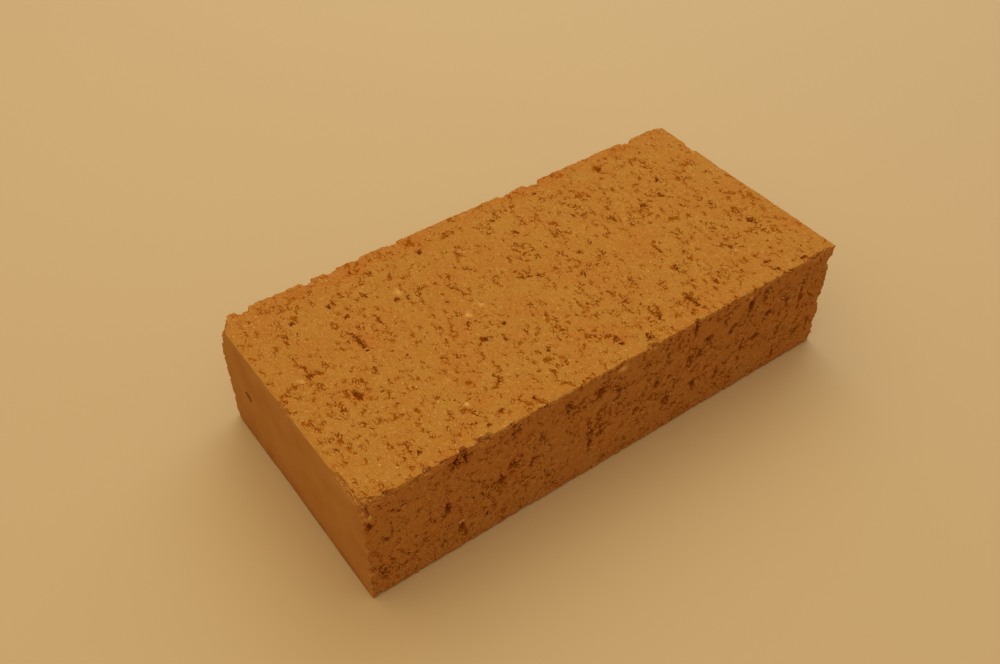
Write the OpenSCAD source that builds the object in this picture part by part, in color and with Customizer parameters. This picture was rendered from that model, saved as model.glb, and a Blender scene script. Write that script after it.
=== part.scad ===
// Fire brick: one block of fired chamotte clay, lying on a bed face.
// The stiff clay was pushed through a die along Y and cut to width by a wire. So the two
// long sides are wire-cut, with broken arrises all round. The beds carry tears that the
// die dragged along Y, and the two ends are smooth.

/* [Block] */
// Length, from one smooth end to the other
brick_length = 250; // [180:1:300]
// Width, from one wire-cut side to the other
brick_width = 120; // [90:1:150]
// Thickness, from bed to bed
brick_height = 60; // [50:1:80]

/* [Wire-cut arrises] */
// Average distance from one break to the next
break_pitch = 6; // [5:0.5:12]
// Shallowest break, measured square into the arris
break_min = 0.2; // [0.2:0.05:0.5]
// Deepest common break, measured square into the arris
break_max = 1.4; // [0.8:0.1:2]
// How much deeper the far left upright arris is worn than the others
worn_extra = 2.3; // [0:0.1:3]

/* [Ends] */
// Bevel that the die leaves on the arrises between the beds and the ends
end_ease = 0.3; // [0.3:0.1:1.5]
// Width of the round pit in the smooth left end, where a grain of grog came out
end_pit_width = 4.6; // [2:0.2:8]

/* [Broken corners] */
// How far the break at the near top corner runs along the brick
near_corner_run = 17; // [8:1:25]
// How far down the break at the far top left corner runs
far_corner_drop = 16; // [8:1:24]

/* [Tears] */
// Number of tears spread over each bed
bed_tears = 22; // [4:1:30]
// Number of tears spread over each long side
side_tears = 14; // [4:1:20]
// Longest spread tear
tear_longest = 7; // [5:0.5:10]

/* [Hidden] */

half_length = brick_length / 2;
half_width = brick_width / 2;
half_height = brick_height / 2;
clay = [0.71, 0.46, 0.17];
cutter = 14;              // side of the blocks that break pieces off
break_lean = 16;          // most that a break leans to one face or the other
break_tilt = 7;           // most that it dips along the arris
break_skew = 12;          // most that it lies askew to the arris
tear_margin = 9;          // spread tears keep this far from the arrises
mount_clear = 12;         // and this far from the middle of the face, which stays flat
tear_drift = 14;          // most that a tear strays from the way the clay was dragged

// How much deeper all the breaks of an arris are, for the top, right, bottom and left of a
// wire-cut side, as one faces it.
near_wear = [0, 0.3, 0.15, 0.2];
far_wear = [0.1, worn_extra, 0.2, 0.15];

// Single chips out of an arris: place from its middle, width and depth. Those of the top
// arrises run to the right as one faces the near side or the right end.
near_top_chips = [
    [-113, 6, 2.2], [-104, 3, 1.8], [-92, 8, 1.9], [-79, 3, 2.2], [-70, 7, 2], [15, 7, 1.4], [40, 3, 2]
];
far_top_chips = [
    [-113, 7, 2.9], [-82, 5, 3], [-70, 6, 2.4], [-57, 4, 1.6], [-38, 5, 1.9], [25, 8, 1.9], [41, 9, 3],
    [101, 7, 2.6]
];
left_top_chips = [[-2, 8, 1.4], [-50, 20, 1.7]];
right_top_chips = [[36, 8, 1.5]];
near_right_chips = [[-21, 7, 3.2], [3, 6, 2.6]];    // downwards

// The large tears that give the top bed its look: place from the middle of the bed,
// length along Y and width.
top_tears = [
    [ 75,  49,  5, 4.4], [ 56,  14,  9, 1.9], [ 93,  26, 10, 1.5], [ 85,  15,  5, 2.0],
    [ 42,  27,  5, 1.8], [-56,  26,  3, 3.0], [-31,  47,  3, 2.8], [-98, -12,  7, 2.8],
    [-82,  12, 11, 1.6], [ 57, -15,  6, 1.7], [ 47, -47, 10, 2.6], [107, -24,  5, 3.0]
];

// The large pits in the near wire-cut side: place from the middle of the side, height
// and width.
near_side_tears = [
    [-88,   0,  8, 2.8], [-79,  24,  8, 1.8], [-12,  19,  7, 3.6], [ 74,  20, 10, 3.8],
    [ 83,  24,  4, 4.0], [ 49,  14,  4, 3.4], [ 81,  -3,  4, 4.4], [108,   9, 14, 1.7],
    [ 58, -13, 10, 1.8], [-62,  -2,  5, 4.0], [-82, -18,  6, 3.4], [ 43, -11,  8, 2.2]
];

// From break_min to break_max, with most breaks near the shallow end.
function skewed(amount) = break_min + (break_max - break_min) * pow(amount, 1.8);

// One tear in the face z = 0, whose middle is at the origin. The clay was dragged along Y:
// a groove runs out thin that way, and grains have come out of its blunt half.
module tear(length, width, turn) {
    translate([0, -length / 2, 0]) groove(length, width);
    translate([0, -length / 5, 0]) rotate(turn) pit(width);
    translate([-width / 5, length / 8, 0]) rotate(40 - turn) pit(0.7 * width);
}

// A square bar laid on its edge and tipped, so that it bites deepest at the origin.
module groove(length, width) {
    depth = width / 2;
    bar_length = norm([length, depth]);
    translate([0, length, 0])
        rotate([atan(depth / length), 0, 0])
            rotate([0, -45, 0])
                translate([0, -bar_length, 0])
                    cube([width, bar_length, width]);
}

// A three-sided pit: a cube that stands on a corner.
module pit(width) {
    translate([0, 0, -width / sqrt(6)])
        rotate([45, -atan(sqrt(0.5)), 0])
            cube(width);
}

module placed_tears(list, seed) {
    turn = rands(-tear_drift, tear_drift, len(list), seed);
    for (i = [0:len(list) - 1])
        translate([list[i][0], list[i][1], 0])
            rotate(turn[i])
                tear(list[i][2], list[i][3], 8 * turn[i]);
}

// Tears spread over a face of the given size, one in each cell of a row-by-row grid.
module spread_tears(size, count, seed) {
    rows = max(2, round(sqrt(count * size[1] / size[0])));
    columns = ceil(count / rows);
    cell = [(size[0] - 2 * tear_margin) / columns, (size[1] - 2 * tear_margin) / rows];
    shift = rands(-0.34, 0.34, 2 * rows * columns, seed);
    grade = rands(0, 1, rows * columns, seed + 1);
    turn = rands(-tear_drift, tear_drift, rows * columns, seed + 2);
    for (row = [0:rows - 1], column = [0:columns - 1]) {
        i = row * columns + column;
        x = (column - (columns - 1) / 2 + shift[2 * i]) * cell[0];
        y = (row - (rows - 1) / 2 + shift[2 * i + 1]) * cell[1];
        length = tear_longest * (0.35 + 0.65 * grade[i]);
        if (i < count && norm([x, y]) > mount_clear)
            translate([x, y, 0])
                rotate(turn[i])
                    tear(length, length * (0.25 + 0.35 * (1 - grade[i])), 8 * turn[i]);
    }
}

// One break in the arris along X, with the clay at +Y and -Z: a block laid across the
// arris, turned and leaned a little, whose underside leaves the broken face.
module arris_break(length, depth, lean, tilt, skew) {
    rotate([45 + lean, 0, 0])
        translate([0, 0, -depth])
            rotate([0, tilt, skew])
                translate([-length / 2, -cutter / 2, 0])
                    cube([length, cutter, cutter]);
}

// A run of breaks along an arris that starts at the origin. The whole of it may be worn as
// well, and then the breaks start from there.
module broken_arris(run, wear, seed) {
    if (wear > 0)
        translate([run / 2, 0, 0])
            arris_break(run + cutter, wear, 0, 0, 0);
    count = round(run / break_pitch);
    shift = rands(-0.35, 0.35, count, seed);
    grade = rands(0, 1, count, seed + 1);
    turn = rands(-1, 1, 3 * count, seed + 2);
    for (i = [0:count - 1])
        translate([(i + 0.5 + shift[i]) * run / count, 0, 0])
            arris_break(
                break_pitch * (0.7 + 0.8 * grade[count - 1 - i]),
                wear + skewed(grade[i]),
                break_lean * turn[3 * i],
                break_tilt * turn[3 * i + 1],
                break_skew * turn[3 * i + 2]
            );
}

// The four arrises round the wire-cut side at -Y, taken one after the other.
module broken_rim(wear, seed) {
    for (side = [0:3]) {
        long = side % 2 == 0;
        run = long ? brick_length : brick_height;
        reach = long ? half_height : half_length;
        translate([0, -half_width, half_height])
            rotate([0, 90 * side, 0])
                translate([-run / 2, 0, reach])
                    broken_arris(run, wear[side], seed + 10 * side);
    }
}

// Single chips in the arris along X, each a wide bite with a smaller and deeper one in it.
module chips(list) {
    for (chip = list)
        translate([chip[0], 0, 0]) {
            arris_break(chip[1], 0.7 * chip[2], -break_lean / 2, -break_tilt / 2, break_skew);
            arris_break(0.6 * chip[1], chip[2], break_lean / 2, break_tilt, -break_skew);
        }
}

module all_chips() {
    translate([0, -half_width, brick_height]) chips(near_top_chips);
    translate([0, half_width, brick_height]) mirror([0, 1, 0]) chips(far_top_chips);
    translate([-half_length, 0, brick_height]) mirror([1, 0, 0]) rotate(90) chips(left_top_chips);
    translate([half_length, 0, brick_height]) rotate(90) chips(right_top_chips);
    translate([half_length, -half_width, half_height]) rotate([0, 90, 0]) chips(near_right_chips);
}

// A corner broken off through three points, one on each arris that meets there. The
// corner is at the origin, with the clay at +X, +Y and -Z.
module corner_break(along_x, along_y, down_z) {
    normal = [-1 / along_x, -1 / along_y, 1 / down_z];
    depth = 1 / norm(normal);
    slope = acos(normal[2] / norm(normal));
    bearing = atan2(normal[1], normal[0]);
    rotate([0, slope, bearing])
        translate([-2 * cutter, -2 * cutter, -depth])
            cube([4 * cutter, 4 * cutter, cutter]);
}

// The near top corner has lost three pieces.
module near_corner() {
    translate([-half_length, -half_width, brick_height]) {
        corner_break(near_corner_run, 2.4, 6);
        corner_break(near_corner_run * 0.6, 6.5, 12);
        corner_break(2.6, 15, 5);
    }
}

// The far top left corner is knocked off.
module far_left_corner() {
    translate([-half_length, half_width, brick_height])
        mirror([0, 1, 0]) {
            corner_break(5.5, 11, far_corner_drop);
            corner_break(8, 3, far_corner_drop / 4);
        }
}

// The far top right corner has lost a small piece.
module far_right_corner() {
    translate([half_length, half_width, brick_height])
        rotate(180) {
            corner_break(8, 2.8, 3);
            corner_break(3, 2.4, 7);
        }
}

// The bevel on the four arrises between the beds and the ends.
module eased_ends() {
    for (end = [-1, 1], bed = [-1, 1])
        translate([end * half_length, 0, half_height + bed * half_height])
            rotate([0, 45, 0])
                cube([end_ease * sqrt(2), 2 * brick_width, end_ease * sqrt(2)], center = true);
}

// The round pit in the smooth left end.
module end_pit() {
    translate([-half_length, half_width - 22, half_height + 0.7])
        sphere(d = end_pit_width, $fn = 48);
}

module fire_brick() {
    color(clay)
        difference() {
            translate([-half_length, -half_width, 0])
                cube([brick_length, brick_width, brick_height]);

            eased_ends();
            broken_rim(near_wear, 11);
            rotate(180) broken_rim(far_wear, 61);
            all_chips();
            near_corner();
            far_left_corner();
            far_right_corner();
            end_pit();

            translate([0, 0, brick_height]) {
                placed_tears(top_tears, 91);
                spread_tears([brick_length, brick_width], bed_tears, 101);
            }
            rotate([180, 0, 0])
                spread_tears([brick_length, brick_width], bed_tears, 131);
            translate([0, -half_width, half_height])
                rotate([90, 0, 0]) {
                    placed_tears(near_side_tears, 151);
                    spread_tears([brick_length, brick_height], side_tears, 161);
                }
            translate([0, half_width, half_height])
                rotate([90, 0, 180])
                    spread_tears([brick_length, brick_height], side_tears, 191);
        }
}

fire_brick();
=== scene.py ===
import math

import bmesh
import bpy
import numpy as np
from mathutils import Matrix, Vector


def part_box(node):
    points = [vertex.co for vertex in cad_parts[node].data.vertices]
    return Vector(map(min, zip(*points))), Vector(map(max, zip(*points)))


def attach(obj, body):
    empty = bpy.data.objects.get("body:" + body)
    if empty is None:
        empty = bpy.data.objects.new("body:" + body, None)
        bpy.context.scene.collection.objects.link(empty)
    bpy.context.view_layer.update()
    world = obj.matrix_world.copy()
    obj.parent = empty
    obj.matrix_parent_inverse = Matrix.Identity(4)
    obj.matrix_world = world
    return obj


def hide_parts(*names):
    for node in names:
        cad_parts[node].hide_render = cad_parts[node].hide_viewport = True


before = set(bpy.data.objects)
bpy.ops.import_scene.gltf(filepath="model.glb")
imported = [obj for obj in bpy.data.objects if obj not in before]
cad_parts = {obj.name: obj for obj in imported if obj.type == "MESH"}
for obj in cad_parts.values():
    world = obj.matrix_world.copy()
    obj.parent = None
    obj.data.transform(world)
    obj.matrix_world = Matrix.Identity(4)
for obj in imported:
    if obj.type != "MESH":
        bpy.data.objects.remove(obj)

MM = 0.001
BRICK = "fire_brick"
LOW, HIGH = (np.array(corner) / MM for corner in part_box(BRICK))
MIDDLE = (LOW + HIGH) / 2
HALF = (HIGH - LOW) / 2
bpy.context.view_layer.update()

# Sizes below are in millimetres, in the frame of the CAD brick, unless a name says otherwise.
CELL = 0.45
TRIANGLES = 196_000
CORE_DEPTH = 14.0          # the skin moves in towards a core this far below it
ON_FACE = 0.01             # a point this near to a face of the block lies on it
SEED = 7
SHARP_ANGLE = math.radians(38)
MAP_GAP = 1.5              # between the faces in the flat map
SKIN_PLACE, LOOSE, BROKEN, HOLLOW, GROG, BLUSH, SIDE = (
    "skin_place", "loose", "broken", "hollow", "grog", "blush", "side")

# The large tears of the top bed: place from the middle of the bed, length along Y, width.
TOP_TEARS = (
    (75, 49, 5.0, 4.4), (55.5, 14, 9.0, 1.9), (92.5, 26, 10.0, 1.5), (85.5, 15, 5.0, 2.0),
    (42, 27, 4.5, 1.8), (-56, 26, 2.8, 3.0), (-31, 47, 3.0, 2.8), (-98, -12, 7.0, 2.8),
    (-82, 12, 11.0, 1.4), (57.5, -15, 5.5, 1.7), (47, -47, 10.0, 2.6), (107, -24, 4.5, 3.0),
    (91, -49, 2.4, 2.8), (92, -56, 2.2, 2.6), (107, -57, 2.2, 3.2), (63.5, -46, 3.6, 2.2),
    (-39, -16, 2.6, 4.4), (-32, -21, 2.2, 2.6), (-27, -13, 1.6, 4.0), (85.5, -32, 4.2, 2.2),
    (17, -55, 3.6, 3.0), (-100, 39, 2.2, 2.6), (-82, 39, 5.0, 1.6), (13, 32, 3.4, 2.0),
)
# The large pits of the near side: place from its middle, height, width.
NEAR_TEARS = (
    (-88, 0, 8.0, 2.8), (-79, 25, 9.0, 1.8), (-12, 19, 7.0, 3.6), (74, 20, 10.0, 3.8),
    (82.5, 25, 3.6, 4.2), (49, 14, 3.4, 3.4), (81, -3, 3.6, 4.6), (108, 9, 14.0, 1.5),
    (58, -13, 10.0, 1.8), (-62, -2, 4.6, 4.0), (-82, -18, 6.0, 3.4), (-16, -11, 6.0, 2.6),
    (-123, 16, 5.0, 2.6), (40, 25, 10.0, 1.8), (43, -11, 8.0, 2.2), (26, -11, 5.0, 2.6),
    (72, -4, 8.0, 1.7), (63, 10, 3.0, 3.0), (87, 9, 7.0, 1.4), (119, -14, 8.0, 2.2),
    (-56, 4, 3.0, 4.0), (-113, 6, 4.6, 1.3), (-112, 18, 2.6, 1.4), (-3, 9, 2.4, 3.2),
)
# Patches of the top bed that the die left smooth: place from its middle and radii.
TOP_CALM = (((-14, 26), (16, 16)), ((-5, 0), (8, 60)), ((-112, -45), (12, 12)))
# Smaller open places of the top bed: place from its middle, length along Y, width.
TOP_SCARS = (
    (-118, 52, 3, 2.0), (-114, 50, 2, 2), (-118, 44, 4, 1.4), (-107, 39, 1.6, 2.2),
    (-96, 26, 4, 1), (-103, 17, 4, 3), (-92.5, 16, 4.5, 1.5), (-108, 9, 7, 3),
    (-79, 48, 2, 3), (-75, 41, 2, 6), (-79, 29, 2, 3), (-63, 43, 3.5, 1.8),
    (-51, 23, 3, 1.4), (-69, 18, 5, 1.3), (-60, 7, 2, 4), (-39, 50, 6, 1.3),
    (-17, 49, 2.5, 4), (-19, 25, 4.5, 3), (6.5, 25.5, 2, 1.8), (8, 46, 4, 4),
    (30, 41, 3, 1.5), (34, 36, 3, 2), (37, 51, 2, 2), (28, 4, 3, 3),
    (117, 28, 3, 1.3), (106, 17, 2, 3), (43, 40, 4, 1.6), (79, 34, 2, 2),
    (75, 17, 3, 3), (-123, 2, 4, 1.6), (-122, -4, 2, 3), (-85, -4, 3, 2.6),
    (-92, -8, 9, 1), (-70, -5, 8, 1.4), (-111, -14, 3, 1.4), (-54, -18, 3.6, 2),
    (-119, -31, 2, 2), (-79, -52, 4, 2.2), (-94, -51, 2, 3), (-57, -52, 3, 2.2),
    (-42, -54, 2.2, 2.4), (-48, -35, 8, 1.6), (-39, -4, 3, 3), (-35, -28, 1.6, 7),
    (-27, -34, 7, 1.2), (-21, -36, 2, 2), (-9, -35, 1.8, 3), (5, -5, 6, 1.8),
    (5, -48, 7, 5), (21, -25, 6, 1.7), (28, -47, 5, 3.5), (37, -24, 3.4, 1.6),
    (56, -28, 4.4, 1.8), (113.5, -26, 4.4, 1.6), (99, -3, 3, 3), (-17, -49, 3, 1.8),
)
# A thin crack in the top bed, from point to point.
TOP_CRACK = ((-10, 10), (-3, 5.5), (3, 3))
# Pale grains of grog that show in the top bed and in the near side.
TOP_GROG = ((-53, 30), (-28, 2), (-37, 0), (-66, -41), (85.5, -35), (4, -49), (-112.5, 7))
NEAR_GROG = (
    ((-122, 21.5), (1.8, 1.2)), ((-1.5, 26.5), (2.8, 1.9)), ((83.5, 25), (1.6, 1.1)),
    ((72, 26), (1.6, 1.1)), ((-82, -13), (1.6, 1.1)),
)
# Places of the top bed that fired redder: place from its middle and radii.
TOP_BLUSH = (
    ((-112, 50), (20, 12)), ((-82, 14), (7, 12)), ((-98, -11), (10, 8)), ((-60, 55), (70, 7)),
    ((123, 37), (2.5, 4)), ((-123, 0), (3, 7)), ((-124.5, 36), (1.6, 2)), ((60, 56), (60, 5)),
    ((24, 36), (10, 8)), ((5, -48), (7, 6)), ((118, -38), (6, 6)), ((-59, -43), (6, 4)),
)
# Places of the near side that fired redder.
NEAR_BLUSH = (((-112, 28), (6, 3)), ((-69, 27), (4, 5)), ((74, 25), (5, 3)), ((117, 26), (9, 6)))


# ---------------------------------------------------------------- node helpers
def add_node(tree, kind, inputs=(), **settings):
    """A new node. Each input, by name or number, gets a plain value or a socket."""
    made = tree.nodes.new(kind)
    for name, value in settings.items():
        setattr(made, name, value)
    for name, value in dict(inputs).items():
        if isinstance(value, bpy.types.NodeSocket):
            tree.links.new(value, made.inputs[name])
        else:
            made.inputs[name].default_value = value
    return made


def maths(tree, operation, *values, clamp=False):
    """The result of one sum on sockets or plain values."""
    made = add_node(tree, "ShaderNodeMath", dict(enumerate(values)),
                    operation=operation, use_clamp=clamp)
    return made.outputs[0]


def ramp(tree, value, low, high):
    """0 where value is at low, 1 where it is at high, and smooth between."""
    made = add_node(tree, "ShaderNodeMapRange",
                    {"Value": value, "From Min": low, "From Max": high},
                    interpolation_type="SMOOTHSTEP")
    return made.outputs[0]


def noise(tree, place, spacing, detail, roughness, seed, twist=0.0):
    """Noise of about 0 to 1 whose lumps are about spacing apart, in mm, along X, Y and Z."""
    scaled = add_node(tree, "ShaderNodeVectorMath",
                      {0: place, 1: [1 / (MM * s) for s in spacing]}, operation="MULTIPLY")
    made = add_node(tree, "ShaderNodeTexNoise",
                    {"Vector": scaled.outputs[0], "W": seed, "Scale": 1.0, "Detail": detail,
                     "Roughness": roughness, "Distortion": twist},
                    noise_dimensions="4D")
    return made.outputs[0]


def even(spacing):
    """The same spacing along X, Y and Z."""
    return (spacing, spacing, spacing)


# ---------------------------------------------------------------- the torn skin
DRIFT_SHARE = 0.4          # how far the slow drift opens up the skin
LOOSE_SHARE = 0.7          # how far a loose place does
CLOSED_LEVEL = 0.724       # skin below this level holds together
GAP_RATE = 0.42            # how fast a tear widens above it
GASH_RATE = 0.78           # how fast a gash widens where the skin is loose
GASH_START = 0.12          # how much of that is lost before a gash opens
TEAR_RIM, TEAR_INSIDE = -0.03, 0.07        # where a tear starts, and where it is fully open


def torn(tree, place, loose):
    """How far the clay has torn open: above 0 inside a tear, below 0 round it."""
    drift = noise(tree, place, even(8), 1.0, 0.5, 5.0)
    groups = noise(tree, place, (2.7, 3.8, 3.2), 2.0, 0.6, 1.0)
    crinkles = noise(tree, place, (1.6, 2.3, 2.0), 1.5, 0.55, 2.0, 0.5)
    gashes = noise(tree, place, (1.3, 3.6, 3.6), 4.0, 0.66, 3.0)
    off_line = maths(tree, "ABSOLUTE", maths(tree, "SUBTRACT", crinkles, 0.5))
    level = maths(tree, "MULTIPLY_ADD", drift, DRIFT_SHARE, groups)
    level = maths(tree, "MULTIPLY_ADD", loose, LOOSE_SHARE, level)
    half_gap = maths(tree, "MULTIPLY", maths(tree, "SUBTRACT", level, CLOSED_LEVEL), GAP_RATE)
    off_gash = maths(tree, "ABSOLUTE", maths(tree, "SUBTRACT", gashes, 0.5))
    half_gash = maths(tree, "MULTIPLY_ADD", loose, GASH_RATE, -GASH_START)
    gash = maths(tree, "SUBTRACT", half_gash, off_gash)
    return maths(tree, "MAXIMUM", maths(tree, "SUBTRACT", half_gap, off_line), gash)


def tears(tree, place, loose):
    """0 on whole skin to 1 in a tear. Both the shape and the finish use it."""
    return ramp(tree, torn(tree, place, loose), TEAR_RIM, TEAR_INSIDE)


def sampler(fields):
    """A Geometry Nodes tree that stores each field on the points of a mesh."""
    tree = bpy.data.node_groups.new("clay_fields", "GeometryNodeTree")
    tree.interface.new_socket("Geometry", in_out="INPUT", socket_type="NodeSocketGeometry")
    tree.interface.new_socket("Geometry", in_out="OUTPUT", socket_type="NodeSocketGeometry")
    place = tree.nodes.new("GeometryNodeInputPosition").outputs[0]
    loose = add_node(tree, "GeometryNodeInputNamedAttribute", {"Name": LOOSE},
                     data_type="FLOAT").outputs[0]
    flow = tree.nodes.new("NodeGroupInput").outputs[0]
    for name, field in fields.items():
        store = add_node(tree, "GeometryNodeStoreNamedAttribute",
                         {"Geometry": flow, "Name": name, "Value": field(tree, place, loose)},
                         data_type="FLOAT", domain="POINT")
        flow = store.outputs[0]
    tree.links.new(flow, tree.nodes.new("NodeGroupOutput").inputs[0])
    return tree


def plain_noise(spacing, detail, roughness, seed):
    return lambda tree, place, loose: noise(tree, place, spacing, detail, roughness, seed)


FIELDS = {
    "torn": tears,
    "ragged": plain_noise(even(7), 5.0, 0.62, 11.0),
    "lean": plain_noise(even(10), 2.0, 0.5, 13.0),
    "notched": plain_noise(even(3.4), 3.0, 0.6, 29.0),
    "grit": plain_noise(even(1.5), 2.0, 0.6, 17.0),
    "crumple": plain_noise((2.8, 4.0, 4.0), 2.0, 0.55, 23.0),
    "swell": plain_noise(even(38), 1.0, 0.5, 19.0),
}
NOISE_SPREAD = 0.12        # noise strays about this far from its middle value of one half


# ---------------------------------------------------------------- mesh helpers
def block(cell):
    """The plain block, cut into even cells."""
    bm = bmesh.new()
    bmesh.ops.create_cube(bm, size=1.0)
    bmesh.ops.scale(bm, vec=2 * HALF * MM, verts=bm.verts)
    for axis in range(3):
        length = 2 * HALF[axis]
        along = [e for e in bm.edges
                 if abs(e.verts[0].co[axis] - e.verts[1].co[axis]) > 0.5 * length * MM]
        bmesh.ops.subdivide_edges(bm, edges=along, cuts=round(length / cell) - 1,
                                  use_grid_fill=True)
    bmesh.ops.translate(bm, vec=MIDDLE * MM, verts=bm.verts)
    mesh = bpy.data.meshes.new("block")
    bm.to_mesh(mesh)
    bm.free()
    return mesh


def read_points(mesh):
    found = np.empty(len(mesh.vertices) * 3, np.float32)
    mesh.vertices.foreach_get("co", found)
    return found.reshape(-1, 3).astype(float) / MM


def write_points(mesh, places):
    mesh.vertices.foreach_set("co", (places * MM).astype(np.float32).ravel())
    mesh.update()


def read_number(mesh, name):
    found = np.empty(len(mesh.vertices), np.float32)
    mesh.attributes[name].data.foreach_get("value", found)
    return found.astype(float)


def write_number(mesh, name, values):
    made = mesh.attributes.get(name) or mesh.attributes.new(name, "FLOAT", "POINT")
    made.data.foreach_set("value", np.asarray(values, np.float32))


def write_place(mesh, name, places):
    made = mesh.attributes.new(name, "FLOAT_VECTOR", "POINT")
    made.data.foreach_set("vector", (places * MM).astype(np.float32).ravel())


def new_object(name, mesh):
    made = bpy.data.objects.new(name, mesh)
    bpy.context.scene.collection.objects.link(made)
    return made


def applied(holder, name):
    """The mesh that an object shows, with its modifiers applied."""
    now = bpy.context.evaluated_depsgraph_get()
    mesh = bpy.data.meshes.new_from_object(holder.evaluated_get(now),
                                           preserve_all_data_layers=True, depsgraph=now)
    mesh.name = name
    return mesh


def smooth_step(value, low=0.0, high=1.0):
    share = np.clip((value - low) / (high - low), 0, 1)
    return share * share * (3 - 2 * share)


# ---------------------------------------------------------------- shape of the brick
def spot(along, across, middle, radii, inner=0.4, outer=1.2):
    """1 in the middle of an oval on a face, falling to 0 round it."""
    off = np.hypot((along - middle[0]) / radii[0], (across - middle[1]) / radii[1])
    return 1 - smooth_step(off, inner, outer)


class Faces:
    """Which face of the plain block each point lies on, and where on it."""

    def __init__(self, places):
        self.x, self.y, self.z = (places - MIDDLE).T
        self.end = np.abs(self.x) > HALF[0] - ON_FACE
        self.left = self.x < ON_FACE - HALF[0]
        self.bed = np.abs(self.z) > HALF[2] - ON_FACE
        self.top = self.z > HALF[2] - ON_FACE
        self.side = np.abs(self.y) > HALF[1] - ON_FACE
        self.near = self.y < ON_FACE - HALF[1]


def scattered(generator, count, half_along, half_across, longest):
    """Chance tears spread over a face: place, length and width, most of them small."""
    found = []
    for _ in range(count):
        length = longest * (0.25 + 0.75 * generator.random() ** 2)
        found.append((generator.uniform(-half_along, half_along),
                      generator.uniform(-half_across, half_across),
                      length, length * generator.uniform(0.35, 0.9)))
    return tuple(found)


def spots(along, across, marks):
    """The highest share, at each point of a face, of all the marks on that face."""
    share = np.zeros(len(along))
    for x, y, length, width in marks:
        near = np.flatnonzero((np.abs(along - x) < width) & (np.abs(across - y) < length))
        found = spot(along[near], across[near], (x, y), (0.5 * width, 0.5 * length), 0.2, 1.9)
        share[near] = np.maximum(share[near], found * min(1.0, 0.5 + 0.2 * min(width, length)))
    return share


def crack(along, across, points):
    """1 on a thin broken line through the points, falling to 0 beside it."""
    share = np.zeros(len(along))
    place = np.stack([along, across], 1)
    for start, end in zip(points, points[1:]):
        run = np.subtract(end, start)
        part = np.clip((place - start) @ run / (run @ run), 0, 1)
        off = np.linalg.norm(place - start - part[:, None] * run, axis=1)
        share = np.maximum(share, 1 - smooth_step(off, 0.1, 0.8))
    return share


TEAR_LOOSE, SIDE_TEAR_LOOSE = 0.26, 0.03    # how loose the skin is at a tear, and more on a side
SIDE_LOOSE = 0.024                          # how loose the whole of a wire-cut side is
END_FIRM = 0.5                              # how firm the smooth ends are
CALM_FIRM = 0.06                            # how firm the patches are that the die left smooth
SCAR_SHARE, CRACK_SHARE = 0.7, 0.8          # the small places count less than the large tears
HOLLOW_SHARE = 0.35                         # how hollow the middle of a tear is
SIDE_REDDENING = 0.4                            # how much redder the wire-cut sides are coloured
GROG_RADII = (1.1, 1.0)
# Chance tears of a face: how many, how long at most, and their share.
BED_CHANCE = (45, 5.0, 0.45)
SIDE_CHANCE = (70, 7.5, 0.65)


def skin_kinds(mesh):
    """Stores where the skin is loose, hollow, gritty with grog, or redder: patches that fired
    redder, and the wire-cut sides.
    """
    faces = Faces(read_points(mesh))
    generator = np.random.default_rng(SEED)
    opened = np.zeros(len(faces.x))
    for face, up, chosen in (
        (faces.top, faces.y, TOP_TEARS),
        (faces.bed & ~faces.top, faces.y, ()),
        (faces.near, faces.z, NEAR_TEARS),
        (faces.side & ~faces.near, faces.z, ()),
    ):
        on_bed = up is faces.y
        count, longest, weight = BED_CHANCE if on_bed else SIDE_CHANCE
        chance = scattered(generator, count, HALF[0], HALF[1 if on_bed else 2], longest)
        here = np.flatnonzero(face)
        share = np.maximum(spots(faces.x[here], up[here], chosen),
                           weight * spots(faces.x[here], up[here], chance))
        opened[here] = np.maximum(opened[here], share)
    top = np.flatnonzero(faces.top)
    x, y = faces.x[top], faces.y[top]
    opened[top] = np.maximum(opened[top], SCAR_SHARE * spots(x, y, TOP_SCARS))
    opened[top] = np.maximum(opened[top], CRACK_SHARE * crack(x, y, TOP_CRACK))
    loose = (TEAR_LOOSE + SIDE_TEAR_LOOSE * faces.side) * opened + SIDE_LOOSE * faces.side
    loose = loose - END_FIRM * faces.end
    blush = SIDE_REDDENING * faces.side
    grog = np.zeros(len(loose))
    for at, radii in TOP_CALM:
        loose[top] -= CALM_FIRM * spot(x, y, at, radii)
    for at, radii in TOP_BLUSH:
        blush[top] = np.maximum(blush[top], spot(x, y, at, radii))
    for at in TOP_GROG:
        grog[top] = np.maximum(grog[top], spot(x, y, at, GROG_RADII))
    near = np.flatnonzero(faces.near)
    for at, radii in NEAR_GROG:
        grog[near] = np.maximum(grog[near], spot(faces.x[near], faces.z[near], at, radii))
    for at, radii in NEAR_BLUSH:
        blush[near] = np.maximum(blush[near], spot(faces.x[near], faces.z[near], at, radii))
    write_number(mesh, LOOSE, loose)
    write_number(mesh, HOLLOW, HOLLOW_SHARE * opened)
    write_number(mesh, GROG, grog)
    write_number(mesh, BLUSH, blush)
    write_number(mesh, SIDE, faces.side)


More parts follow.
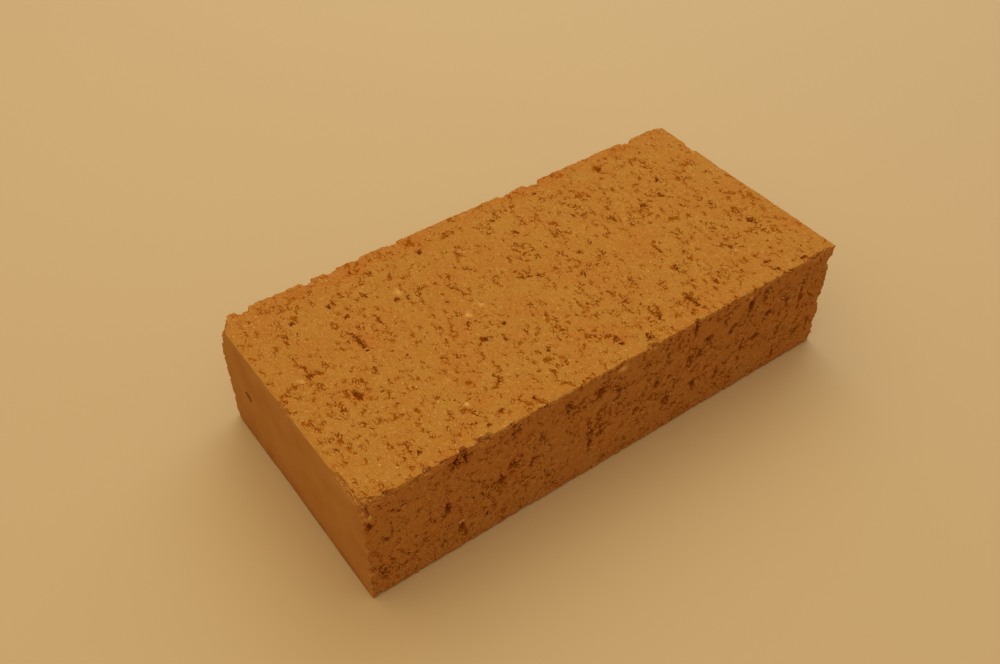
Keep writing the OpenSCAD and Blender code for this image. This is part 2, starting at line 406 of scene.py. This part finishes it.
class Breaks:
    """Works out how far in each point of the block moves where pieces have broken off."""

    def __init__(self, places, fields):
        self.fields = fields
        flat = places - MIDDLE
        core = HALF - CORE_DEPTH
        way = flat - np.clip(flat, -core, core)
        self.outward = way / np.linalg.norm(way, axis=1, keepdims=True)
        self.flat = flat
        self.moved = np.zeros(len(places))

    def strength(self, name):
        """A noise field as its share of the usual stray from its middle value."""
        return (self.fields[name] - 0.5) / NOISE_SPREAD

    def below(self, axis, sign):
        """How far each point is below the face on that side of the block."""
        return HALF[axis] - sign * self.flat[:, axis]

    def cut(self, sides, weights, depth):
        """Breaks off all that lies less than depth below the sides, as weighted and summed."""
        total, rate = 0.0, 0.0
        for (axis, sign), weight in zip(sides, weights):
            total = total + weight * self.below(axis, sign)
            rate = rate + weight * sign * self.outward[:, axis]
        over = (depth - total) / np.where(rate > 0.05, rate, np.inf)
        self.moved = np.maximum(self.moved, over)


NEAR, BACK = (1, -1), (1, 1)
BOTTOM, TOP = (2, -1), (2, 1)
LEFT, RIGHT = (0, -1), (0, 1)
# Every wire-cut arris: the two faces, the usual depth of the wear, how much it varies and
# how deep the steps are where more has come off.
WIRE_CUT_ARRISES = (
    (NEAR, TOP, 0.45, 0.25, 0.9),
    (NEAR, BOTTOM, 0.8, 0.4, 0.9),
    (NEAR, LEFT, 0.8, 0.55, 1.1),
    (NEAR, RIGHT, 1.1, 0.8, 1.9),
    (BACK, TOP, 0.7, 0.35, 0.8),
    (BACK, BOTTOM, 1.0, 0.5, 1.2),
    (BACK, LEFT, 2.8, 1.2, 1.6),
    (BACK, RIGHT, 0.9, 0.5, 1.2),
)
# Single chips out of an arris: its two faces, place along it, width and depth.
CHIPS = (
    (BACK, TOP, -113, 7, 2.9), (BACK, TOP, -82, 5, 3.0), (BACK, TOP, -70, 6, 2.4),
    (BACK, TOP, -57, 4, 1.6), (BACK, TOP, -38, 5, 1.9), (BACK, TOP, 25, 8, 1.9),
    (BACK, TOP, 41, 9, 3.0), (BACK, TOP, 101, 7, 2.6), (NEAR, TOP, -113, 6, 2.2),
    (NEAR, TOP, -104, 3, 1.8), (NEAR, TOP, -96, 4, 2.4), (NEAR, TOP, -89, 4, 1.4),
    (NEAR, TOP, -80, 3, 2.5), (NEAR, TOP, -70, 8, 2.2), (NEAR, TOP, 15, 7, 1.6),
    (NEAR, TOP, 40, 3, 2.0), (NEAR, TOP, 115, 15, 1.7), (LEFT, TOP, 1, 4, 1.4),
    (LEFT, TOP, -4, 4, 1.6), (LEFT, TOP, -50, 22, 1.8), (RIGHT, TOP, 36, 8, 1.5),
    (NEAR, RIGHT, 21, 7, 3.2), (NEAR, RIGHT, -3, 6, 2.6), (NEAR, LEFT, -12, 5, 1.8),
    (NEAR, LEFT, 4, 4, 1.6),
)
# Corner breaks: the three faces that meet, and how far the break runs along X, Y and Z.
CORNER_BREAKS = (
    ((-1, -1, 1), (10.0, 6.5, 12.0)), ((-1, -1, 1), (2.6, 15.0, 5.0)),
    ((-1, -1, 1), (17.0, 2.4, 6.0)), ((-1, 1, 1), (5.5, 11.0, 16.0)),
    ((-1, 1, 1), (8.0, 3.0, 4.0)),
    ((1, 1, 1), (8.0, 2.8, 3.0)), ((1, 1, 1), (3.0, 2.4, 7.0)),
    ((-1, -1, -1), (1.4, 1.6, 2.0)), ((1, -1, -1), (4.0, 2.0, 3.0)),
    ((-1, 1, -1), (4.0, 6.0, 4.0)), ((1, 1, -1), (2.5, 3.0, 3.0)),
)


def wire_cut_arrises(breaks):
    """The arrises round each long side are ragged: grains and flakes have come off."""
    ragged = breaks.strength("ragged")
    notched = np.clip(breaks.strength("notched"), -1.5, 1.5)
    grit = breaks.strength("grit")
    lean = 0.2 + 0.15 * np.clip(breaks.strength("lean"), -1, 1)
    for side, face, usual, spread, step in WIRE_CUT_ARRISES:
        depth = usual + spread * notched + step * smooth_step(ragged, 0.7, 1.3) + 0.22 * grit
        breaks.cut((side, face), (1 + lean, 1 - lean), depth)


def end_arrises(breaks):
    """The arrises between the beds and the ends are nearly sharp."""
    grit = breaks.strength("grit")
    notched = 0.5 * smooth_step(breaks.strength("notched"), 0.6, 1.6)
    for end in (LEFT, RIGHT):
        for bed in (BOTTOM, TOP):
            breaks.cut((end, bed), (1, 1), 0.3 + 0.1 * grit + notched)


def chips(breaks):
    """Single chips, each a flat-bottomed bite with ragged rims."""
    rough = 0.35 * breaks.strength("notched") + 0.15 * breaks.strength("grit")
    for first, second, place, width, depth in CHIPS:
        along = 3 - first[0] - second[0]
        off = np.abs(breaks.flat[:, along] - place) / (0.5 * width)
        bite = 1 - smooth_step(off + 0.25 * rough, 0.7, 1.15)
        steep = (1, 0.5) if second is TOP else (1, 1)
        breaks.cut((first, second), steep, (depth + rough) * bite)


def broken_corners(breaks):
    """Each corner break runs through three points, one on each arris that meets there."""
    rough = 0.12 * breaks.strength("ragged") + 0.07 * breaks.strength("notched")
    for signs, runs in CORNER_BREAKS:
        breaks.cut(tuple(enumerate(signs)), [1 / run for run in runs], 1 + rough)


def end_pit(faces):
    """Depth of the round pit in the left end, where a grain of grog came out."""
    middle_y, middle_z, radius, depth = 38.0, 0.5, 2.9, 3.4
    along, up = faces.y - middle_y, faces.z - middle_z
    rim = radius * (1 + 0.10 * np.sin(3 * np.arctan2(up, along) + 1.0))
    share = np.clip(1 - (along ** 2 + up ** 2) / rim ** 2, 0, 1)
    return faces.left * depth * share ** 0.4


BED_CRUMPLE, SIDE_CRUMPLE = 0.08, 0.24      # how far the crumpled skin dips
SWELL_DEPTH = 0.28                          # how far the slow waves of the faces dip
BED_TEAR, SIDE_TEAR = 0.6, 0.2              # depth of a tear, and how much more it is on a side
BED_HOLLOW, SIDE_HOLLOW = 3.6, 0.8          # how much deeper it gets where the skin is hollow
WORN_SHARE = 0.5                            # how much of the tears a worn arris has lost


def shaped(mesh):
    """Moves the points of the cut-up block in to the worn and torn shape of the brick."""
    places = read_points(mesh)
    faces = Faces(places)
    fields = {name: read_number(mesh, name) for name in FIELDS}
    breaks = Breaks(places, fields)
    wire_cut_arrises(breaks)
    end_arrises(breaks)
    chips(breaks)
    broken_corners(breaks)

    broken = smooth_step(breaks.moved, 0.1, 0.9)
    rough = np.where(faces.side, SIDE_CRUMPLE, BED_CRUMPLE) * (1 - faces.end)
    crumple = rough * np.maximum(1 + breaks.strength("crumple"), 0)
    jagged = broken * (0.35 * breaks.strength("crumple") + 0.25 * breaks.strength("grit"))
    swell = SWELL_DEPTH * smooth_step(fields["swell"], 0.42, 0.72)
    hollow = read_number(mesh, HOLLOW)
    hollow_depth = (BED_HOLLOW + SIDE_HOLLOW * faces.side) * hollow
    full_depth = BED_TEAR + SIDE_TEAR * faces.side + hollow_depth
    tear_depth = fields["torn"] * full_depth * (1 - WORN_SHARE * broken)
    cut = end_pit(faces)
    moved = np.maximum(breaks.moved + jagged, 0) + np.maximum(tear_depth + crumple, cut) + swell
    write_points(mesh, places - breaks.outward * moved[:, None])
    write_number(mesh, BROKEN, broken)
    write_number(mesh, HOLLOW, np.maximum(hollow, smooth_step(cut, 0.05, 0.6)))
    write_place(mesh, SKIN_PLACE, places)


def bake_map(mesh):
    """A flat map of the six faces: beds and long sides in one column, the ends beside it."""
    size = 2 * HALF
    corners = np.empty(len(mesh.loops), np.int32)
    mesh.loops.foreach_get("vertex_index", corners)
    skin = np.empty(len(mesh.vertices) * 3, np.float32)
    mesh.attributes[SKIN_PLACE].data.foreach_get("vector", skin)
    flat = skin.reshape(-1, 3)[corners] / MM - MIDDLE
    middles = flat.reshape(-1, 3, 3).mean(axis=1)
    below = np.stack([HALF[axis] - sign * middles[:, axis]
                      for axis in range(3) for sign in (-1, 1)])
    face = np.repeat(below.argmin(axis=0), 3)
    square = 2 * size[1] + 2 * size[2] + 5 * MAP_GAP
    starts = {4: MAP_GAP, 5: size[1] + 2 * MAP_GAP, 2: 2 * size[1] + 3 * MAP_GAP,
              3: 2 * size[1] + size[2] + 4 * MAP_GAP}
    from_low = flat + HALF
    across = MAP_GAP + from_low[:, 0]
    up = np.select([face == key for key in starts],
                   [start + from_low[:, 1 if key > 3 else 2] for key, start in starts.items()])
    end_across = size[0] + 2 * MAP_GAP + from_low[:, 2]
    end_up = np.where(face == 0, MAP_GAP, size[1] + 2 * MAP_GAP) + from_low[:, 1]
    across = np.where(face < 2, end_across, across)
    up = np.where(face < 2, end_up, up)
    spread = mesh.uv_layers.new(name="OFBake")
    spread.data.foreach_set("uv", (np.stack([across, up], 1) / square).astype(np.float32).ravel())


def fired_clay_block():
    """The brick itself: one worn and torn block, whose mesh is fine where it is rough."""
    mesh = block(CELL)
    skin_kinds(mesh)
    holder = new_object("holder", mesh)
    holder.modifiers.new("fields", "NODES").node_group = sampler(FIELDS)
    mesh = applied(holder, "sampled")
    shaped(mesh)
    holder.modifiers.clear()
    holder.data = mesh
    thin = holder.modifiers.new("thin", "DECIMATE")
    thin.ratio = min(1.0, TRIANGLES / (2 * len(mesh.polygons)))
    thin.use_collapse_triangulate = True
    mesh = applied(holder, "fired_clay_block")
    bpy.data.objects.remove(holder)
    write_points(mesh, np.clip(read_points(mesh), LOW, HIGH))
    for name in FIELDS:
        mesh.attributes.remove(mesh.attributes[name])
    bake_map(mesh)
    mesh.materials.clear()
    mesh.materials.append(fired_clay())
    mesh.shade_smooth()
    mesh.set_sharp_from_angle(angle=SHARP_ANGLE)
    brick = new_object("fired_clay_block", mesh)
    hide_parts(BRICK)
    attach(brick, "root")


# ---------------------------------------------------------------- finish
def colour(written):
    """A colour written as 8-bit sRGB values, in the linear values that shaders take."""
    parts = [part / 255 for part in written]
    return [p / 12.92 if p <= 0.04045 else ((p + 0.055) / 1.055) ** 2.4 for p in parts] + [1.0]


def blend(tree, share, first, second):
    """The first colour where share is 0, the second where it is 1."""
    made = add_node(tree, "ShaderNodeMix",
                    {0: share, 6: first, 7: second}, data_type="RGBA")
    return made.outputs[2]


# Colours of the clay, as 8-bit sRGB values.
OCHRES = ((172, 104, 38), (173, 114, 43))
REDDISH, GREENISH = (179, 103, 41), (166, 110, 30)
REDDER_FIRED = (174, 82, 26)
# The flake and grain colours darken the skin where its fine relief dips: partly the clay's own
# tone, partly painted shade.
FLAKE_TONE_AND_SHADE, GRAIN_TONE_AND_SHADE = (154, 82, 13), (158, 88, 15)
# The pale rim colour is a painted highlight in small spots over the skin; the pale side colour
# paints extra light onto the wire-cut sides, making up for the shade in their rougher relief.
RIM_HIGHLIGHT, SIDE_PAINTED_LIGHT = (198, 136, 60), (198, 124, 52)
# The colours of the smooth ends: their own tone, painted lighter than the beds to make up for the
# shade on the ends.
SMOOTH_ENDS_AND_PAINTED_LIGHT = ((177, 114, 50), (182, 124, 57))
# Painted shade in the pinholes.
PINHOLE_SHADE = (150, 76, 4)
FRESH_BREAKS = ((168, 98, 36), (198, 124, 62))
# Painted highlight on the lips round the tears.
LIP_HIGHLIGHT = (212, 150, 74)
# The tear colours are partly the darker, redder clay inside a tear and partly painted shade; the
# pit colour is painted shade inside the pit in the left end.
TEAR_TONE_AND_SHADE, DEEP_TEAR_TONE_AND_SHADE, PIT_PAINTED_SHADE = (160, 79, 0), (138, 50, 0), (140, 44, 0)
PALE_GROG = (226, 168, 86)


def fired_clay():
    """The finish of the clay: ochre skin with painted light on its sides and ends, darker in its
    tears and fine dips partly with painted shade, and with painted highlights on lips and in
    small pale spots.
    """
    material = bpy.data.materials.new("fired_clay")
    material.use_nodes = True
    tree = material.node_tree
    tree.nodes.clear()

    def attribute(name, output):
        return add_node(tree, "ShaderNodeAttribute", attribute_name=name).outputs[output]

    place = attribute(SKIN_PLACE, "Vector")
    loose = attribute(LOOSE, "Fac")
    broken = attribute(BROKEN, "Fac")
    hollow = attribute(HOLLOW, "Fac")
    side = attribute(SIDE, "Fac")
    end = ramp(tree, loose, -0.3, -0.4)

    mottle = noise(tree, place, even(16), 3.0, 0.55, 31.0)
    patches = noise(tree, place, even(5), 2.0, 0.5, 61.0)
    grain = noise(tree, place, even(0.8), 3.0, 0.65, 37.0)
    flakes = noise(tree, place, (1.8, 2.6, 2.6), 2.0, 0.55, 43.0, 0.4)
    rims = noise(tree, place, (1.1, 1.4, 1.4), 2.0, 0.6, 47.0)
    pinholes = ramp(tree, maths(tree, "MULTIPLY_ADD", loose, 0.3,
                                noise(tree, place, (0.7, 1.0, 1.0), 2.0, 0.6, 41.0)), 0.60, 0.70)
    gap = torn(tree, place, loose)
    deep = maths(tree, "MAXIMUM", ramp(tree, gap, TEAR_RIM, TEAR_INSIDE), hollow)
    # Where the tears are coloured darker and redder: partly their own clay, partly painted shade.
    tear_tone_and_shade = maths(tree, "MAXIMUM", ramp(tree, gap, -0.075, 0.04), hollow)
    unworn = maths(tree, "MULTIPLY_ADD", broken, -0.5, 1.0)
    specks = ramp(tree, noise(tree, place, even(0.9), 2.0, 0.6, 59.0), 0.50, 0.64)
    # Lips round the tears: raised in the bump, and given painted highlights.
    lips = maths(tree, "SUBTRACT", ramp(tree, gap, -0.12, -0.07), tear_tone_and_shade, clamp=True)
    lips = maths(tree, "MULTIPLY", lips, maths(tree, "MULTIPLY_ADD", specks, 0.75, 0.25))
    grogs = ramp(tree, noise(tree, place, even(1.5), 1.0, 0.5, 53.0), 0.73, 0.77)
    grogs = maths(tree, "MULTIPLY", grogs, maths(tree, "SUBTRACT", 1.0, end))
    grogs = maths(tree, "MAXIMUM", grogs, attribute(GROG, "Fac"))

    skin = blend(tree, ramp(tree, mottle, 0.32, 0.68), *map(colour, OCHRES))
    skin = blend(tree, maths(tree, "MULTIPLY", ramp(tree, patches, 0.50, 0.70), 0.25), skin,
                 colour(REDDISH))
    skin = blend(tree, maths(tree, "MULTIPLY", ramp(tree, patches, 0.50, 0.30), 0.3), skin,
                 colour(GREENISH))
    skin = blend(tree, maths(tree, "MULTIPLY", attribute(BLUSH, "Fac"), 0.3), skin,
                 colour(REDDER_FIRED))
    # Flakes: darker where the relief dips, partly the clay's tone and partly painted shade.
    skin = blend(tree, ramp(tree, flakes, 0.54, 0.86), skin, colour(FLAKE_TONE_AND_SHADE))
    # Painted highlights, in small pale spots over the skin.
    skin = blend(tree, maths(tree, "MULTIPLY", ramp(tree, rims, 0.64, 0.84), 0.28), skin,
                 colour(RIM_HIGHLIGHT))
    # Grain: darker where the fine relief dips, partly the clay's tone and partly painted shade.
    skin = blend(tree, ramp(tree, grain, 0.58, 1.3), skin, colour(GRAIN_TONE_AND_SHADE))
    # Painted light: the wire-cut sides are coloured lighter, making up for the shade in their
    # rougher relief.
    skin = blend(tree, maths(tree, "MULTIPLY", side, 0.3), skin, colour(SIDE_PAINTED_LIGHT))
    # The smooth ends: their own tone, painted lighter to make up for the shade on them.
    skin = blend(tree, end, skin,
                 blend(tree, ramp(tree, mottle, 0.3, 0.7), *map(colour, SMOOTH_ENDS_AND_PAINTED_LIGHT)))
    # Painted shade in the pinholes.
    skin = blend(tree, maths(tree, "MULTIPLY", pinholes, 0.4), skin, colour(PINHOLE_SHADE))
    skin = blend(tree, maths(tree, "MULTIPLY", broken, 0.4), skin,
                 blend(tree, ramp(tree, rims, 0.4, 0.62), *map(colour, FRESH_BREAKS)))
    # Painted highlights on the lips, stronger on the wire-cut sides.
    pale = maths(tree, "MULTIPLY_ADD", side, 0.25, 0.7)
    skin = blend(tree, maths(tree, "MULTIPLY", lips, pale), skin, colour(LIP_HIGHLIGHT))
    # The tears and their cores take darker, redder colours: partly the clay inside them, partly
    # painted shade.
    skin = blend(tree, maths(tree, "MULTIPLY", maths(tree, "MULTIPLY", tear_tone_and_shade, 0.86), unworn),
                 skin, colour(TEAR_TONE_AND_SHADE))
    skin = blend(tree, maths(tree, "MULTIPLY", ramp(tree, gap, 0.02, 0.12), 0.8), skin,
                 colour(DEEP_TEAR_TONE_AND_SHADE))
    # Painted shade inside the pit in the left end.
    skin = blend(tree, maths(tree, "MULTIPLY", end, hollow), skin, colour(PIT_PAINTED_SHADE))
    skin = blend(tree, maths(tree, "MULTIPLY", grogs, 0.9), skin, colour(PALE_GROG))

    height = maths(tree, "MULTIPLY_ADD", grain, -0.08, maths(tree, "MULTIPLY", pinholes, -0.25))
    height = maths(tree, "MULTIPLY_ADD", flakes, -0.25, height)
    height = maths(tree, "MULTIPLY_ADD", deep, -0.5, height)
    raised = maths(tree, "MULTIPLY_ADD", side, 0.3, 0.35)
    height = maths(tree, "MULTIPLY_ADD", lips, raised, height)
    height = maths(tree, "MULTIPLY", height, maths(tree, "MULTIPLY_ADD", end, -0.85, 1.0))
    bump = add_node(tree, "ShaderNodeBump",
                    {"Height": height, "Distance": 0.4 * MM, "Strength": 1.0})
    surface = add_node(tree, "ShaderNodeBsdfPrincipled",
                       {"Base Color": skin, "Roughness": 0.95, "Normal": bump.outputs[0],
                        "Specular IOR Level": 0.0})
    add_node(tree, "ShaderNodeOutputMaterial", {"Surface": surface.outputs[0]})
    return material


def plain_material(name, shade):
    material = bpy.data.materials.new(name)
    material.use_nodes = True
    surface = material.node_tree.nodes["Principled BSDF"]
    surface.inputs["Base Color"].default_value = shade
    surface.inputs["Roughness"].default_value = 0.9
    surface.inputs["Specular IOR Level"].default_value = 0.1
    return material


# ---------------------------------------------------------------- stage
PALE_FLOOR = (196, 160, 113)
FLOOR_REACH = 6.0          # metres from the middle to each side of the floor


def floor():
    """A plain pale floor, well past the view of the camera."""
    bm = bmesh.new()
    bmesh.ops.create_grid(bm, x_segments=1, y_segments=1, size=FLOOR_REACH)
    mesh = bpy.data.meshes.new("floor")
    bm.to_mesh(mesh)
    bm.free()
    mesh.materials.append(plain_material("pale_floor", colour(PALE_FLOOR)))
    new_object("floor", mesh)


def large_lamp(name, place, size, power, shade):
    """A large soft lamp that faces the brick."""
    lamp = bpy.data.lights.new(name, "AREA")
    lamp.shape, lamp.size, lamp.size_y = "RECTANGLE", size[0], size[1]
    lamp.energy = power
    lamp.color = shade
    holder = bpy.data.objects.new(name, lamp)
    holder.location = place
    towards_brick = -holder.location
    holder.rotation_euler = towards_brick.to_track_quat("-Z", "Y").to_euler()
    bpy.context.scene.collection.objects.link(holder)


def soft_light():
    """One large warm lamp overhead, a cooler one behind, and plain light from all round."""
    large_lamp("overhead", (-0.2, 0.12, 1.2), (2.4, 2.0), 14.7, (1.0, 1.0, 0.55))
    large_lamp("behind", (0.6, 0.6, 0.9), (1.2, 1.0), 9.0, (0.5, 0.72, 1.0))
    world = bpy.data.worlds.new("soft_room")
    world.use_nodes = True
    background = world.node_tree.nodes["Background"]
    background.inputs["Color"].default_value = (1.0, 0.845, 0.877, 1.0)
    background.inputs["Strength"].default_value = 0.432
    bpy.context.scene.world = world


def camera():
    """Looks down on the brick, at angles and a distance taken round an aim point."""
    azimuth, elevation, roll = (math.radians(a) for a in (36.151, 44.347, 0.305))
    aim, distance = Vector((-13.8, 8.5, 30.0)) * MM, 490.8 * MM
    ahead = Vector((math.sin(azimuth) * math.cos(elevation),
                    math.cos(azimuth) * math.cos(elevation), -math.sin(elevation)))
    data = bpy.data.cameras.new("camera")
    data.lens, data.sensor_width = 38.78, 36.0
    data.clip_start, data.clip_end = 0.01, 50.0
    made = bpy.data.objects.new("camera", data)
    turn = ahead.to_track_quat("-Z", "Y").to_matrix().to_4x4() @ Matrix.Rotation(roll, 4, "Z")
    made.matrix_world = Matrix.Translation(aim - distance * ahead) @ turn
    bpy.context.scene.collection.objects.link(made)
    bpy.context.scene.camera = made


camera()
floor()
soft_light()
fired_clay_block()
bpy.context.scene.view_settings.view_transform = "Standard"
